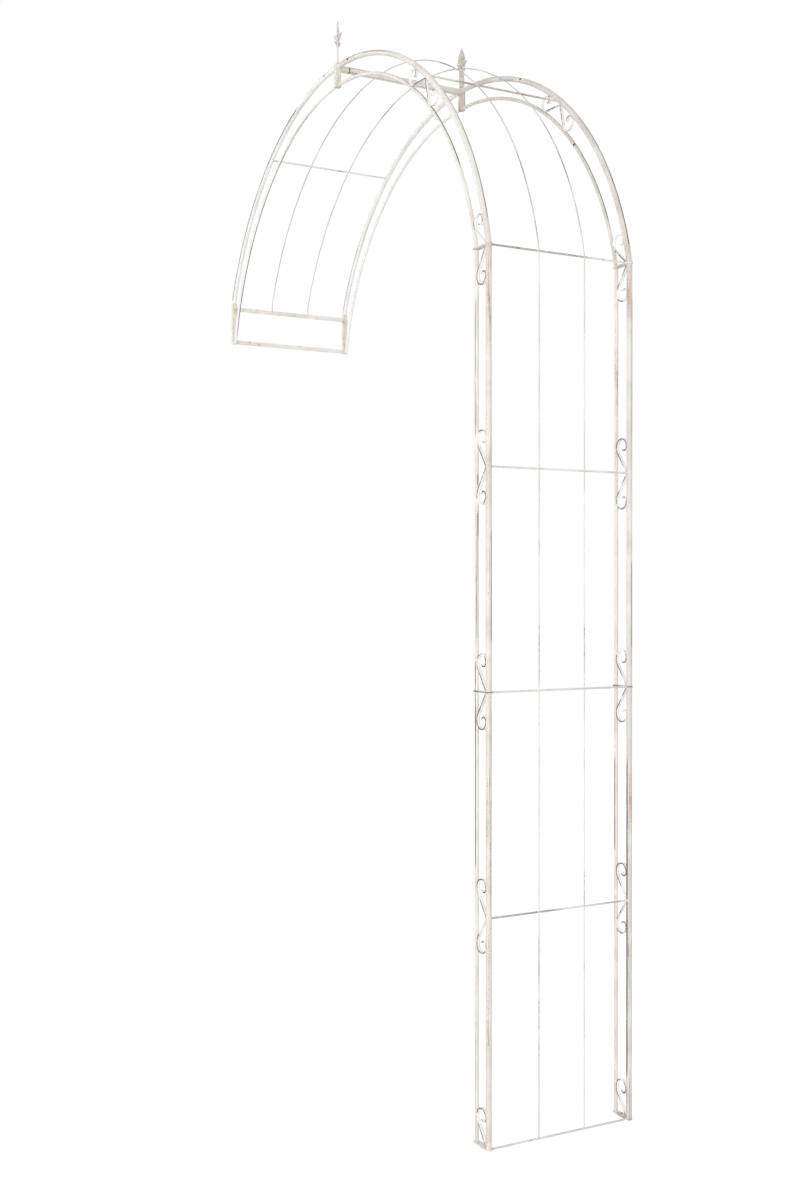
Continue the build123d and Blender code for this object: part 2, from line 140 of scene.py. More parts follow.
@dataclass
class NodeGraph:
    """Short ways to add the nodes of one material."""

    tree: bpy.types.NodeTree

    def add(self, kind: str, inputs: dict | None = None, **settings: object) -> bpy.types.Node:
        """Add a node.

        Args:
            kind: Blender's name of the node's type.
            inputs: sockets to link or values to set, by the input's name or number.
            settings: the node's own settings.

        Returns:
            The new node.
        """
        node = self.tree.nodes.new(kind)
        for setting, value in settings.items():
            setattr(node, setting, value)
        for name, value in (inputs or {}).items():
            if isinstance(value, Socket):
                self.tree.links.new(value, node.inputs[name])
            else:
                node.inputs[name].default_value = value
        return node

    def sum(self, operation: str, first: Value, second: Value) -> Socket:
        """Join two values by a sum such as SUBTRACT or MAXIMUM."""
        return self.add("ShaderNodeMath", {0: first, 1: second}, operation=operation).outputs[0]

    def total(self, *values: Value) -> Socket:
        """Add values up."""
        return reduce(partial(self.sum, "ADD"), values)

    def product(self, *values: Value) -> Socket:
        """Multiply values."""
        return reduce(partial(self.sum, "MULTIPLY"), values)

    def gap(self, value: Socket, centre: float) -> Socket:
        """Give how far a value is from a centre, to either side."""
        return self.sum("ABSOLUTE", self.sum("SUBTRACT", value, centre), 0.0)

    def swing(self, cloud: Socket, share: float = 1.0) -> Socket:
        """Give how far a noise is above or below its middle, times a share."""
        return self.product(self.sum("SUBTRACT", cloud, 0.5), share)

    def coordinates(self) -> Socket:
        """Give the piece's own coordinates, in metres."""
        return self.add("ShaderNodeTexCoord").outputs["Object"]

    def part(self, place: Socket, axis: str) -> Socket:
        """Give the X, Y or Z of a place."""
        return self.add("ShaderNodeSeparateXYZ", {"Vector": place}).outputs[axis]

    def distance(
        self, place: Socket, point: Vector | Triple, counted: Triple = (1.0, 1.0, 1.0)
    ) -> Socket:
        """Measure how far a place is from a point.

        Args:
            place: the place.
            point: the point, with 0 along each axis that isn't counted.
            counted: 1 for each axis that is counted and 0 for the others.

        Returns:
            The distance, in metres.
        """
        flat = self.add("ShaderNodeVectorMath", {0: place, 1: counted}, operation="MULTIPLY")
        inputs = {0: flat.outputs["Vector"], 1: point}
        return self.add("ShaderNodeVectorMath", inputs, operation="DISTANCE").outputs["Value"]

    def place(self, run: Run, centre: Pair = (0.0, 0.0)) -> Socket:
        """Give coordinates whose third one goes along a piece.

        Args:
            run: way that the piece runs.
            centre: X and Z of the arch's centre, for a piece that is bent round it.

        Returns:
            The coordinates, in metres.
        """
        source = self.coordinates()
        if run in (Run.ALL_ROUND, Run.UPRIGHT):
            return source
        across, row, height = (self.part(source, axis) for axis in "XYZ")
        if run is Run.CROSSWISE:
            turned = {"X": across, "Y": height, "Z": row}
        else:
            side = self.sum("SUBTRACT", across, centre[0])
            rise = self.sum("SUBTRACT", height, centre[1])
            squares = self.total(self.product(side, side), self.product(rise, rise))
            radius = self.sum("POWER", squares, 0.5)
            along = self.product(self.sum("ARCTAN2", rise, side), radius)
            turned = {"X": radius, "Y": row, "Z": along}
        return self.add("ShaderNodeCombineXYZ", turned).outputs["Vector"]

    def stretched(self, place: Socket, stretch: float) -> Socket:
        """Shrink the third coordinate, so that a pattern is drawn out along the piece."""
        inputs = {"Vector": place, "Scale": (1.0, 1.0, 1 / stretch)}
        return self.add("ShaderNodeMapping", inputs).outputs["Vector"]

    def cloud(self, place: Socket, size: float, detail: float, roughness: float) -> Socket:
        """Add a noise.

        Args:
            place: coordinates that it reads.
            size: size of its patches, in metres.
            detail: how many finer layers it has.
            roughness: how strong the finer layers are.

        Returns:
            The noise, about 0.5 in the middle.
        """
        inputs = {"Vector": place, "Scale": 1 / size, "Detail": detail, "Roughness": roughness}
        return self.add("ShaderNodeTexNoise", inputs).outputs["Fac"]

    def band(self, value: Socket, none: float, full: float) -> Socket:
        """Give 0 where the value is at none, 1 where it is at full, and a smooth step between."""
        inputs = {"Value": value, "From Min": none, "From Max": full}
        return self.add("ShaderNodeMapRange", inputs, interpolation_type="SMOOTHSTEP").outputs["Result"]

    def range(self, value: Socket, low: float, high: float) -> Socket:
        """Spread a value of 0 to 1 between two limits."""
        inputs = {"Value": value, "To Min": low, "To Max": high}
        return self.add("ShaderNodeMapRange", inputs).outputs["Result"]

    def blend(self, share: Socket, first: Socket | Colour, second: Socket | Colour) -> Socket:
        """Mix two colours by a share of the second one."""
        return self.add("ShaderNodeMix", {0: share, 6: first, 7: second}, data_type="RGBA").outputs[2]

    def edges(self, radius: float) -> Socket:
        """Find the sharp edges of a piece.

        Args:
            radius: how far from an edge the wear reaches.

        Returns:
            1 on the edges and 0 on the flats.
        """
        rounded = self.add("ShaderNodeBevel", {"Radius": radius}, samples=6).outputs["Normal"]
        true = self.add("ShaderNodeNewGeometry").outputs["Normal"]
        facing = self.add("ShaderNodeVectorMath", {0: rounded, 1: true}, operation="DOT_PRODUCT")
        return self.band(facing.outputs["Value"], none=0.99, full=0.86)


@dataclass(frozen=True)
class DarkLine:
    """Dark joint line round a piece, square to one of the axes."""

    axis: str
    place: float
    half_width: float
    core: float = 0.55

    def share(self, graph: NodeGraph) -> Socket:
        """Give 1 on the line and 0 away from it."""
        away = graph.gap(graph.part(graph.coordinates(), self.axis), self.place)
        return graph.band(away, self.half_width, self.core * self.half_width)


@dataclass(frozen=True)
class DarkSpot:
    """Chip in the paint at one place, with a ragged outline."""

    place: Triple
    radius: float
    core: float = 0.8
    raggedness: float = 2.4

    def share(self, graph: NodeGraph) -> Socket:
        """Find the chip.

        Args:
            graph: nodes of the paint.

        Returns:
            1 in the chip and 0 away from it.
        """
        source = graph.coordinates()
        ragged = graph.swing(
            graph.cloud(source, size=0.004, detail=4.0, roughness=0.7), self.raggedness * self.radius
        )
        away = graph.total(graph.distance(source, self.place), ragged)
        return graph.band(away, self.radius, self.core * self.radius)


@dataclass(frozen=True)
class DarkStripEdges:
    """Bare edges of the flat strip in both ladders.

    They are bare all along the strip, or only within reach of one place in X and Z.
    """

    ladder_offset: float
    half_width: float
    bare_level: float
    place: Pair = (0.0, 0.0)
    reach: float = 10.0
    fade: float = 0.012
    softness: float = 0.13
    face_share: float = 0.80
    edge_share: float = 0.94

    def share(self, graph: NodeGraph) -> Socket:
        """Find the strip's edges, broken up a little along the strip.

        Args:
            graph: nodes of the paint.

        Returns:
            1 on the bare edges and 0 on the faces.
        """
        source = graph.coordinates()
        away = graph.gap(graph.gap(graph.part(source, "Y"), 0.0), self.ladder_offset)
        edge = graph.band(away, self.face_share * self.half_width, self.edge_share * self.half_width)
        patches = graph.cloud(source, size=0.040, detail=3.0, roughness=0.6)
        bare = graph.band(patches, self.bare_level, self.bare_level + self.softness)
        far = graph.distance(source, (self.place[0], 0.0, self.place[1]), counted=(1.0, 0.0, 1.0))
        return graph.product(edge, bare, graph.band(far, self.reach + self.fade, self.reach))


@dataclass(frozen=True)
class WornFlank:
    """Stretch of a rail or an arch tube whose paint is gone along one side.

    On a rail the axis and the outward side are given in X and Y, and low and high are heights. On a tube
    they are given in the radius of the arch and Y, and low and high are lengths round the arch from its
    horizontal.
    """

    axis: Pair
    outward: Pair
    radius: float
    low: float
    high: float
    strength: float = 0.8
    width: float = 1.0
    fade: float = 0.06
    run: Run = Run.UPRIGHT
    centre: Pair = (0.0, 0.0)
    rim_share: float = 0.46
    core_share: float = 0.26
    cover: float = 0.68
    grain_share: float = 0.5
    streak_stretch: float = 14.0

    def share(self, graph: NodeGraph) -> Socket:
        """Find the worn side, broken up along the piece.

        Args:
            graph: nodes of the paint.

        Returns:
            The flank's strength where it is bare and 0 elsewhere.
        """
        source = graph.place(self.run, self.centre)
        side = Vector((*self.axis, 0.0)) + self.radius * Vector((*self.outward, 0.0))
        away = graph.distance(source, side, counted=(1.0, 1.0, 0.0))
        reach = self.width * self.radius
        flank = graph.band(away, self.rim_share * reach, self.core_share * reach)
        half = (self.high - self.low) / 2
        level = graph.gap(graph.part(source, "Z"), (self.low + self.high) / 2)
        stretch = graph.band(level, half, half - self.fade)
        drawn = graph.stretched(source, self.streak_stretch)
        streaks = graph.swing(graph.cloud(drawn, size=0.006, detail=3.0, roughness=0.6))
        grain = graph.swing(graph.cloud(source, size=0.0022, detail=3.0, roughness=0.7), self.grain_share)
        worn = graph.total(graph.product(flank, stretch, self.cover), graph.total(streaks, grain))
        return graph.product(graph.band(worn, none=0.46, full=0.58), self.strength)


@dataclass(frozen=True)
class WornRun:
    """Stretch of a cross rod that is rubbed bare, from one place along Y to another."""

    start: float
    end: float
    fade: float = 0.05
    strength: float = 0.50

    def share(self, graph: NodeGraph) -> Socket:
        """Find the bare stretch, broken up along the rod.

        Args:
            graph: nodes of the paint.

        Returns:
            The run's strength where the rod is bare and 0 where its paint is sound.
        """
        source = graph.coordinates()
        half = (self.end - self.start) / 2
        away = graph.gap(graph.part(source, "Y"), (self.start + self.end) / 2)
        patches = graph.cloud(source, size=0.011, detail=3.0, roughness=0.65)
        broken = graph.band(patches, none=0.18, full=0.52)
        return graph.product(graph.band(away, half + self.fade, half), broken, self.strength)


@dataclass(frozen=True)
class RubbedPaint:
    """Cream paint, rubbed through to a brown undercoat and chipped to the dark iron."""

    name: str
    coat: Colour = shade(233, 229, 223)
    dull_coat: Colour = shade(219, 212, 205)
    undercoat: Colour = shade(168, 143, 128)
    iron: Colour = shade(70, 60, 55)
    rub_level: float = 0.60
    chip_level: float = 0.72
    rub_softness: float = 0.07
    chip_softness: float = 0.03
    rub_cover: float = 0.85
    patch: float = 0.020
    tone_spread: float = 4.0
    grain: float = 0.0025
    grain_share: float = 0.40
    run: Run = Run.ALL_ROUND
    centre: Pair = (0.0, 0.0)
    patch_stretch: float = 1.0
    patch_share: float = 1.0
    streak: float = 0.0035
    streak_stretch: float = 22.0
    streak_share: float = 0.0
    edge_radius: float = 0.0
    edge_wear: float = 0.16
    bump: float = 0.30
    bump_depth: float = 0.0006
    grain_height: float = 0.35
    rub_depth: float = 0.4
    chip_depth: float = 0.5
    sound_roughness: float = 0.46
    rubbed_roughness: float = 0.72
    gloss: float = 0.35
    marks: tuple[DarkLine | DarkSpot | DarkStripEdges | WornFlank | WornRun, ...] = ()

    def wear(self, graph: NodeGraph, place: Socket, grain: Socket) -> Socket:
        """Add up what wears the paint: patches, grain, streaks along the piece and its edges.

        Args:
            graph: nodes of the paint.
            place: coordinates along the piece.
            grain: the paint's fine noise.

        Returns:
            The wear, about 0.5 in the middle.
        """
        drawn = graph.stretched(place, self.patch_stretch)
        patches = graph.cloud(drawn, self.patch, detail=4.0, roughness=0.62)
        worn = graph.total(graph.swing(patches, self.patch_share), 0.5, graph.swing(grain, self.grain_share))
        if self.streak_share:
            drawn = graph.stretched(place, self.streak_stretch)
            streaks = graph.cloud(drawn, self.streak, detail=2.0, roughness=0.5)
            worn = graph.total(worn, graph.swing(streaks, self.streak_share))
        if self.edge_radius:
            worn = graph.total(worn, graph.product(graph.edges(self.edge_radius), self.edge_wear))
        return worn

    def material(self) -> bpy.types.Material:
        """Make the paint's material.

        Returns:
            The node-based material.
        """
        material = bpy.data.materials.new(self.name)
        material.use_nodes = True
        graph = NodeGraph(material.node_tree)
        place = graph.place(self.run, self.centre)
        grain = graph.cloud(place, self.grain, detail=3.0, roughness=0.70)
        worn = self.wear(graph, place, grain)
        rub = graph.band(worn, self.rub_level, self.rub_level + self.rub_softness)
        chip = graph.band(worn, self.chip_level, self.chip_level + self.chip_softness)
        for mark in self.marks:
            chip = graph.sum("MAXIMUM", chip, mark.share(graph))
        wide_patches = graph.cloud(place, self.tone_spread * self.patch, detail=3.0, roughness=0.55)
        colour = graph.blend(graph.band(wide_patches, none=0.38, full=0.66), self.coat, self.dull_coat)
        colour = graph.blend(graph.product(rub, self.rub_cover), colour, self.undercoat)
        colour = graph.blend(chip, colour, self.iron)
        height = graph.product(grain, self.grain_height)
        height = graph.sum("SUBTRACT", height, graph.product(rub, self.rub_depth))
        height = graph.sum("SUBTRACT", height, graph.product(chip, self.chip_depth))
        relief = {"Strength": self.bump, "Distance": self.bump_depth, "Height": height}
        bumped = graph.add("ShaderNodeBump", relief)
        shader = material.node_tree.nodes["Principled BSDF"]
        links = material.node_tree.links
        links.new(colour, shader.inputs["Base Color"])
        links.new(graph.range(rub, self.sound_roughness, self.rubbed_roughness), shader.inputs["Roughness"])
        links.new(bumped.outputs["Normal"], shader.inputs["Normal"])
        shader.inputs["Specular IOR Level"].default_value = self.gloss
        return material


@dataclass(frozen=True)
class RailPaint(RubbedPaint):
    """Rubbed paint on a rail or tube, with its marks drawn out along it."""

    run: Run = Run.UPRIGHT
    patch_stretch: float = 8.0
    patch_share: float = 0.6
    streak: float = 0.0020
    streak_stretch: float = 90.0
    streak_share: float = 0.85
    bump: float = 0.12


@dataclass(frozen=True)
class RodPaint(RubbedPaint):
    """Rubbed paint on a cross rod."""

    coat: Colour = shade(231, 229, 224)
    dull_coat: Colour = shade(212, 208, 202)
    run: Run = Run.CROSSWISE
    patch_stretch: float = 4.0
    streak_share: float = 0.25


@dataclass(frozen=True)
class PlatePaint(RubbedPaint):
    """Rubbed paint on a small plate, worn along its edges."""

    edge_radius: float = 0.0012


@dataclass(frozen=True)
class SquareBarPaint(RubbedPaint):
    """Rubbed paint on a square bar, worn more along its edges."""

    edge_radius: float = 0.0016
    edge_wear: float = 0.26


@dataclass(frozen=True)
class ScrollPaint(RubbedPaint):
    """Sound paint on flat strip, over darker iron; the near-white coats that it is given are painted light.
    """

    iron: Colour = shade(44, 32, 29)
    patch: float = 0.014


@dataclass(frozen=True)
class PetalPaint(RubbedPaint):
    """Rubbed paint on the small petals of a finial."""

    patch: float = 0.007
    grain: float = 0.0016


@dataclass(frozen=True)
class DullSteel:
    """Bare drawn steel of the hidden spigots."""

    name: str
    bright: Colour = shade(168, 165, 160)
    dark: Colour = shade(112, 104, 98)
    stretch: float = 8.0
    smooth: float = 0.32
    rough: float = 0.62

    def material(self) -> bpy.types.Material:
        """Make the steel's material.

        Returns:
            The node-based material.
        """
        material = bpy.data.materials.new(self.name)
        material.use_nodes = True
        graph = NodeGraph(material.node_tree)
        place = graph.stretched(graph.place(Run.UPRIGHT), self.stretch)
        drawn = graph.cloud(place, size=0.0016, detail=4.0, roughness=0.6)
        colour = graph.blend(graph.band(drawn, none=0.4, full=0.7), self.bright, self.dark)
        shader = material.node_tree.nodes["Principled BSDF"]
        shader.inputs["Metallic"].default_value = 1.0
        links = material.node_tree.links
        links.new(colour, shader.inputs["Base Color"])
        links.new(graph.range(drawn, self.smooth, self.rough), shader.inputs["Roughness"])
        return material


def middle(node: str) -> Vector:
    """Give the middle of a CAD node's box."""
    low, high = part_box(node)
    return (low + high) / 2


def half_size(node: str) -> Vector:
    """Give half the size of a CAD node's box."""
    low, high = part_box(node)
    return (high - low) / 2


def both(piece: str) -> list[str]:
    """Give the names of a piece's two nodes, near and far."""
    return [f"{side}_{piece}" for side in SIDES]


def paint(nodes: list[str], finish: RubbedPaint | DullSteel) -> bpy.types.Material:
    """Put a finish on CAD nodes.

    Args:
        nodes: names of the nodes.
        finish: the finish they get.

    Returns:
        The finish's material.
    """
    material = finish.material()
    for node in nodes:
        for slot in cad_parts[node].material_slots:
            slot.material = material
        log.info("painted %s with %s", node, finish.name)
    return material


def trim_to_box(shape: bmesh.types.BMesh) -> None:
    """Cut off what stands out of the CAD model's box, and close the cuts.

    Args:
        shape: bmesh of a piece, in place.
    """
    for corner, way in zip(cad_box, (-1.0, 1.0)):
        for axis in range(3):
            outward = Vector([way if index == axis else 0.0 for index in range(3)])
            if all((point.co - corner).dot(outward) <= 0 for point in shape.verts):
                continue
            parts = shape.verts[:] + shape.edges[:] + shape.faces[:]
            cut = bmesh.ops.bisect_plane(
                shape, geom=parts, plane_co=corner, plane_no=outward, clear_outer=True
            )["geom_cut"]
            rim = [part for part in cut if isinstance(part, bmesh.types.BMEdge)]
            bmesh.ops.holes_fill(shape, edges=rim)


def finish_piece(
    name: str, shape: bmesh.types.BMesh, material: bpy.types.Material, body: Body, slot: Slot
) -> bpy.types.Object:
    """Turn a finished bmesh into a piece that rides on a body.

    Args:
        name: name of the piece.
        shape: its bmesh, in place, which is freed.
        material: its finish.
        body: the body that it moves with.
        slot: the record's slot that its finish comes from; not used.

    Returns:
        The new object.
    """
    trim_to_box(shape)
    bmesh.ops.remove_doubles(shape, verts=shape.verts, dist=1e-6)
    bmesh.ops.recalc_face_normals(shape, faces=shape.faces)
    mesh = bpy.data.meshes.new(name)
    for face in shape.faces:
        face.smooth = True
    shape.to_mesh(mesh)
    shape.free()
    mesh.materials.append(material)
    piece = bpy.data.objects.new(name, mesh)
    bpy.context.scene.collection.objects.link(piece)
    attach(piece, body.value)
    log.info("built %s with %d faces", name, len(mesh.polygons))
    return piece


def turned_to(axis: Vector) -> Matrix:
    """Give the turn that takes +Z to an axis."""
    return UP.rotation_difference(axis).to_matrix().to_4x4()


def linked_faces(points: list[bmesh.types.BMVert]) -> list[bmesh.types.BMFace]:
    """Give the faces at some points, each once and in a fixed order."""
    return list(dict.fromkeys(face for point in points for face in point.link_faces))


def linked_edges(points: list[bmesh.types.BMVert]) -> list[bmesh.types.BMEdge]:
    """Give the edges at some points, each once and in a fixed order."""
    return list(dict.fromkeys(edge for point in points for edge in point.link_edges))


def slab(
    shape: bmesh.types.BMesh, columns: int, rows: int, place: Callable[[float, float, float], Vector]
) -> list[bmesh.types.BMVert]:
    """Lay a grid, give it a back, and bend both to a form.

    Args:
        shape: bmesh that gets the slab.
        columns: number of faces across it.
        rows: number of faces along it.
        place: gives the place of a point from its share across (-1 to 1), along (0 to 1) and through
            (-1 or 1).

    Returns:
        The slab's points.
    """
    front = bmesh.ops.create_grid(shape, x_segments=columns, y_segments=rows, size=1.0)["verts"]
    grown = bmesh.ops.extrude_face_region(shape, geom=linked_faces(front))["geom"]
    back = [part for part in grown if isinstance(part, bmesh.types.BMVert)]
    bmesh.ops.translate(shape, verts=back, vec=UP)
    for point in front + back:
        across, along, through = point.co
        point.co = place(across, (along + 1) / 2, 2 * through - 1)
    shape.normal_update()
    return front + back


def bevel_sharp(
    shape: bmesh.types.BMesh, points: list[bmesh.types.BMVert], offset: float, least_angle: float = 50.0
) -> None:
    """Round the sharp edges of a part of a shape.

    Args:
        shape: bmesh that holds the part.
        points: the part's points.
        offset: width of the rounding on each side of an edge.
        least_angle: edges with a smaller angle between their faces, in degrees, stay.
    """
    least = math.radians(least_angle)
    sharp = [edge for edge in linked_edges(points) if edge.calc_face_angle(0.0) > least]
    bmesh.ops.bevel(
        shape,
        geom=sharp,
        offset=offset,
        affect="EDGES",
        segments=2,
        profile=0.5,
        material=-1,
        clamp_overlap=True,
    )


@dataclass
class WeldBeads:
    """Beads of weld that a sub-assembly gathers in one mesh."""

    waviness: float = 0.0002
    ripple: float = 0.0018
    proud_share: float = 0.15
    least_steps: int = 4
    shape: bmesh.types.BMesh = field(default_factory=bmesh.new)

    def roughen(self, points: list[bmesh.types.BMVert]) -> None:
        """Push the points of a bead about a little, as a hand-laid weld is."""
        for point in points:
            point.co += self.waviness * noise.noise_vector(point.co / self.ripple)

    def ring(self, centre: Vector, axis: Vector, radius: float, size: float) -> None:
        """Lay a bead round a bar or tube.

        Args:
            centre: place on the axis of the bar.
            axis: way that the bar runs.
            radius: radius of the bar.
            size: thickness of the bead.
        """
        turn = turned_to(axis)
        side = turn @ Vector((radius + self.proud_share * size, 0.0, 0.0))
        stand = Matrix.Translation(centre + side) @ turn @ Matrix.Rotation(math.radians(90), 4, "X")
        start = bmesh.ops.create_circle(self.shape, segments=6, radius=size / 2, matrix=stand)["verts"]
        before = set(self.shape.verts)
        profile = start + linked_edges(start)
        bmesh.ops.spin(
            self.shape, geom=profile, cent=centre, axis=axis, angle=math.tau, steps=20, use_merge=True
        )
        self.roughen([point for point in self.shape.verts if point not in before] + start)

    def tack(self, place: Vector, along: Vector, length: float, width: float) -> None:
        """Put a short lump of weld where two bars touch.

        Args:
            place: middle of the lump.
            along: way that it lies.
            length: its length.
            width: its width.
        """
        stretch = Matrix.Diagonal((width / 2, width / 2, length / 2, 1.0))
        stand = Matrix.Translation(place) @ turned_to(along) @ stretch
        lump = bmesh.ops.create_icosphere(self.shape, subdivisions=2, radius=1.0, matrix=stand)["verts"]
        self.roughen(lump)

    def seam(self, place: Vector, along: Vector, length: float, size: float) -> None:
        """Lay a straight bead in the corner between two flat pieces.

        Args:
            place: middle of the bead.
            along: way that it lies.
            length: its length.
            size: its thickness.
        """
        stand = Matrix.Translation(place - along * length / 2) @ turned_to(along)
        foot = bmesh.ops.create_circle(
            self.shape, cap_ends=True, segments=8, radius=size / 2, matrix=stand
        )["verts"]
        row = list(foot)
        faces = linked_faces(foot)
        steps = max(self.least_steps, round(length / self.ripple))
        for _ in range(steps):
            grown = bmesh.ops.extrude_face_region(self.shape, geom=faces)["geom"]
            moved = [part for part in grown if isinstance(part, bmesh.types.BMVert)]
            bmesh.ops.translate(self.shape, verts=moved, vec=along * length / steps)
            bmesh.ops.delete(self.shape, geom=faces, context="FACES_ONLY")
            faces = [part for part in grown if isinstance(part, bmesh.types.BMFace)]
            row += moved
        self.roughen(row)


@dataclass
class ArchLine:
    """Circle that the arch follows, in the plane of a ladder, and the thickness of what follows it."""

    half_span: float = 0.698
    rise: float = 0.572
    ladder_width: float = 0.045
    rail_radius: float = 0.006
    bar_radius: float = 0.004
    rod_radius: float = 0.002
    wire_radius: float = 0.00125

    @property
    def radius(self) -> float:
        """Radius of the outer tubes' axis."""
        return (self.half_span**2 + self.rise**2) / (2 * self.rise)

    @property
    def inner_radius(self) -> float:
        """Radius of the inner bars' axis."""
        return self.radius - self.ladder_width

    @property
    def paths(self) -> dict[str, float]:
        """Radius that the axis of each ladder's outer tube and inner bar follows."""
        return {"outer": self.radius, "inner": self.inner_radius}

    @property
    def thickness(self) -> dict[str, float]:
        """Radius of the outer tubes and rails, and of the inner bars and rails."""
        return {"outer": self.rail_radius, "inner": self.bar_radius}

    @property
    def rows(self) -> dict[str, float]:
        """Place along Y of the two ladders."""
        return {side: middle(f"{side}_lower_outer_rail").y for side in SIDES}

    @property
    def centre(self) -> Vector:
        """Centre of the circle, midway between the ladders.

        Returns:
            Its place.
        """
        leg = middle("near_lower_outer_rail")
        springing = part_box("near_springing_plate")[1]
        return Vector((leg.x - self.half_span, 0.0, springing.z + self.rise - self.radius))

    @property
    def hub(self) -> Pair:
        """X and Z of the circle's centre."""
        return (self.centre.x, self.centre.z)

    def point(self, radius: float, angle: float) -> Vector:
        """Give the place at a radius and an angle in radians."""
        return self.centre + radius * Vector((math.cos(angle), 0.0, math.sin(angle)))

    def heading(self, angle: float) -> Vector:
        """Give the way that the arch runs at an angle in radians."""
        return Vector((-math.sin(angle), 0.0, math.cos(angle)))

    def angle_at_height(self, radius: float, height: float) -> float:
        """Give the angle at which a circle of this radius passes a height on the leg's side."""
        return math.asin((height - self.centre.z) / radius)

    def angle_at_x(self, radius: float, x: float) -> float:
        """Give the angle at which a circle of this radius passes a place along X."""
        return math.acos((x - self.centre.x) / radius)


@dataclass
class LegPanels:
    """Two ladders of the leg: rails, plates and the scrolls welded into them."""

    line: ArchLine
    plate_bead: float = 0.0016
    bead_lift: float = 0.25
    scroll_tack: float = 0.0026
    tack_stretch: float = 2.4
    tack_spread: float = 0.4
    scroll_width: float = 0.006
    contact_gap: float = 0.0002
    root_tack_offset: float = 0.0025
    inner_tack_offset: float = 0.052
    joint_line: float = 0.0011

    def worn_lines(self) -> tuple[WornFlank, ...]:
        """Give the lines along which the paint of the rails is gone.

        Returns:
            The marks.
        """
        seam = middle("near_seam_plate").z
        # Ladder, rail, outward side, lowest and highest place, strength, width and length of the fade
        lines = (
            ("far", "outer", (0.0, -1.0), 0.05, 0.80, 0.80, 1.3, 0.06),
            ("far", "outer", (0.85, 0.53), seam + 0.04, seam + 0.30, 0.80, 1.2, 0.06),
            ("far", "outer", (0.75, 0.66), 1.40, 1.76, 0.80, 1.3, 0.06),
            ("far", "inner", (0.75, 0.66), seam - 0.02, seam + 0.34, 0.50, 1.0, 0.06),
            ("far", "inner", (0.75, 0.66), 1.36, 1.70, 0.50, 1.0, 0.06),
            ("far", "inner", (0.0, -1.0), 0.52, 0.80, 0.80, 1.4, 0.06),
            ("far", "inner", (0.85, 0.53), 1.27, 1.33, 0.90, 1.2, 0.02),
            ("near", "outer", (0.75, 0.66), seam + 0.06, seam + 0.36, 0.80, 1.4, 0.06),
            ("near", "inner", (0.99, -0.11), 1.20, 1.29, 0.55, 1.4, 0.03),
            ("near", "inner", (0.99, -0.11), 1.31, 1.36, 0.55, 1.3, 0.02),
            ("near", "inner", (0.0, -1.0), 0.52, 1.01, 0.80, 1.5, 0.06),
            ("near", "inner", (0.88, -0.47), 0.98, 1.28, 0.35, 1.0, 0.06),
            ("near", "inner", (-0.15, -0.99), 1.38, 1.74, 0.80, 1.5, 0.06),
        )
        marks = []
        for side, rail, outward, *stretch in lines:
            axis = middle(f"{side}_lower_{rail}_rail")
            marks.append(WornFlank((axis.x, axis.y), outward, self.line.thickness[rail], *stretch))
        return tuple(marks)

    def dress(self) -> bpy.types.Material:
        """Paint the rails, plates and scrolls.

        Returns:
            The paint of the rails, which the beads also get.
        """
        marks = self.worn_lines()
        looks = {
            "inner": (shade(233, 227, 221), shade(219, 212, 205)),
            "outer": (shade(227, 222, 216), shade(212, 205, 198)),
        }
        for rail, coats in looks.items():
            rail_paint = paint(
                [f"{side}_{panel}_{rail}_rail" for side in SIDES for panel in PANELS],
                RailPaint(f"{rail}_rail_paint", *coats, chip_level=0.78, marks=marks),
            )
        foot_coats = (shade(240, 237, 231), shade(227, 221, 213))
        for side, rub_level, chip_level in (("near", 0.70, 0.82), ("far", 0.57, 0.69)):
            finish = PlatePaint(
                f"{side}_foot_plate_paint", *foot_coats, rub_level=rub_level, chip_level=chip_level
            )
            paint([f"{side}_foot_plate"], finish)
        joint = DarkLine("Z", middle("near_seam_plate").z, self.joint_line)
        seam_coats = (shade(240, 235, 229), shade(226, 219, 211))
        paint(
            both("seam_plate"),
            PlatePaint("seam_plate_paint", *seam_coats, rub_level=0.62, chip_level=0.73, marks=(joint,)),
        )
        paint(both("springing_plate"), PlatePaint("springing_plate_paint", rub_level=0.56))
        edges = DarkStripEdges(self.line.rows["far"], self.scroll_width / 2, bare_level=0.41)
        # The near-white coats are painted light: the strip's faces drawn as bright as if the lamps burned
        # them out to white.
        painted_light_scroll_coats = (shade(251, 250, 247), shade(243, 240, 235))
        paint(
            [node for scroll in LEG_SCROLLS for node in both(f"{scroll}_scroll")],
            ScrollPaint("leg_scroll_paint", *painted_light_scroll_coats, rub_level=0.68, marks=(edges,)),
        )
        return rail_paint

    def weld(self, material: bpy.types.Material) -> None:
        """Lay the beads where rails meet plates and scrolls meet rails.

        Args:
            material: finish of the beads.
        """
        beads = WeldBeads()
        lift = self.bead_lift * self.plate_bead
        for side in SIDES:
            for panel in PANELS:
                for rail, radius in self.line.thickness.items():
                    low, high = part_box(f"{side}_{panel}_{rail}_rail")
                    axis = (low + high) / 2
                    for height in (low.z + lift, high.z - lift):
                        beads.ring(Vector((axis.x, axis.y, height)), UP, radius, self.plate_bead)
        finish_piece("leg_plate_beads", beads.shape, material, Body.ARCH, Slot.FRAME)
        tacks = WeldBeads()
        for side in SIDES:
            for spot in self.scroll_contacts(side):
                for edge in (-1, 1):
                    shift = ACROSS * edge * self.tack_spread * self.scroll_width
                    tacks.tack(spot + shift, UP, self.tack_stretch * self.scroll_tack, self.scroll_tack)
        finish_piece("leg_scroll_tacks", tacks.shape, material, Body.ARCH, Slot.SCROLL)

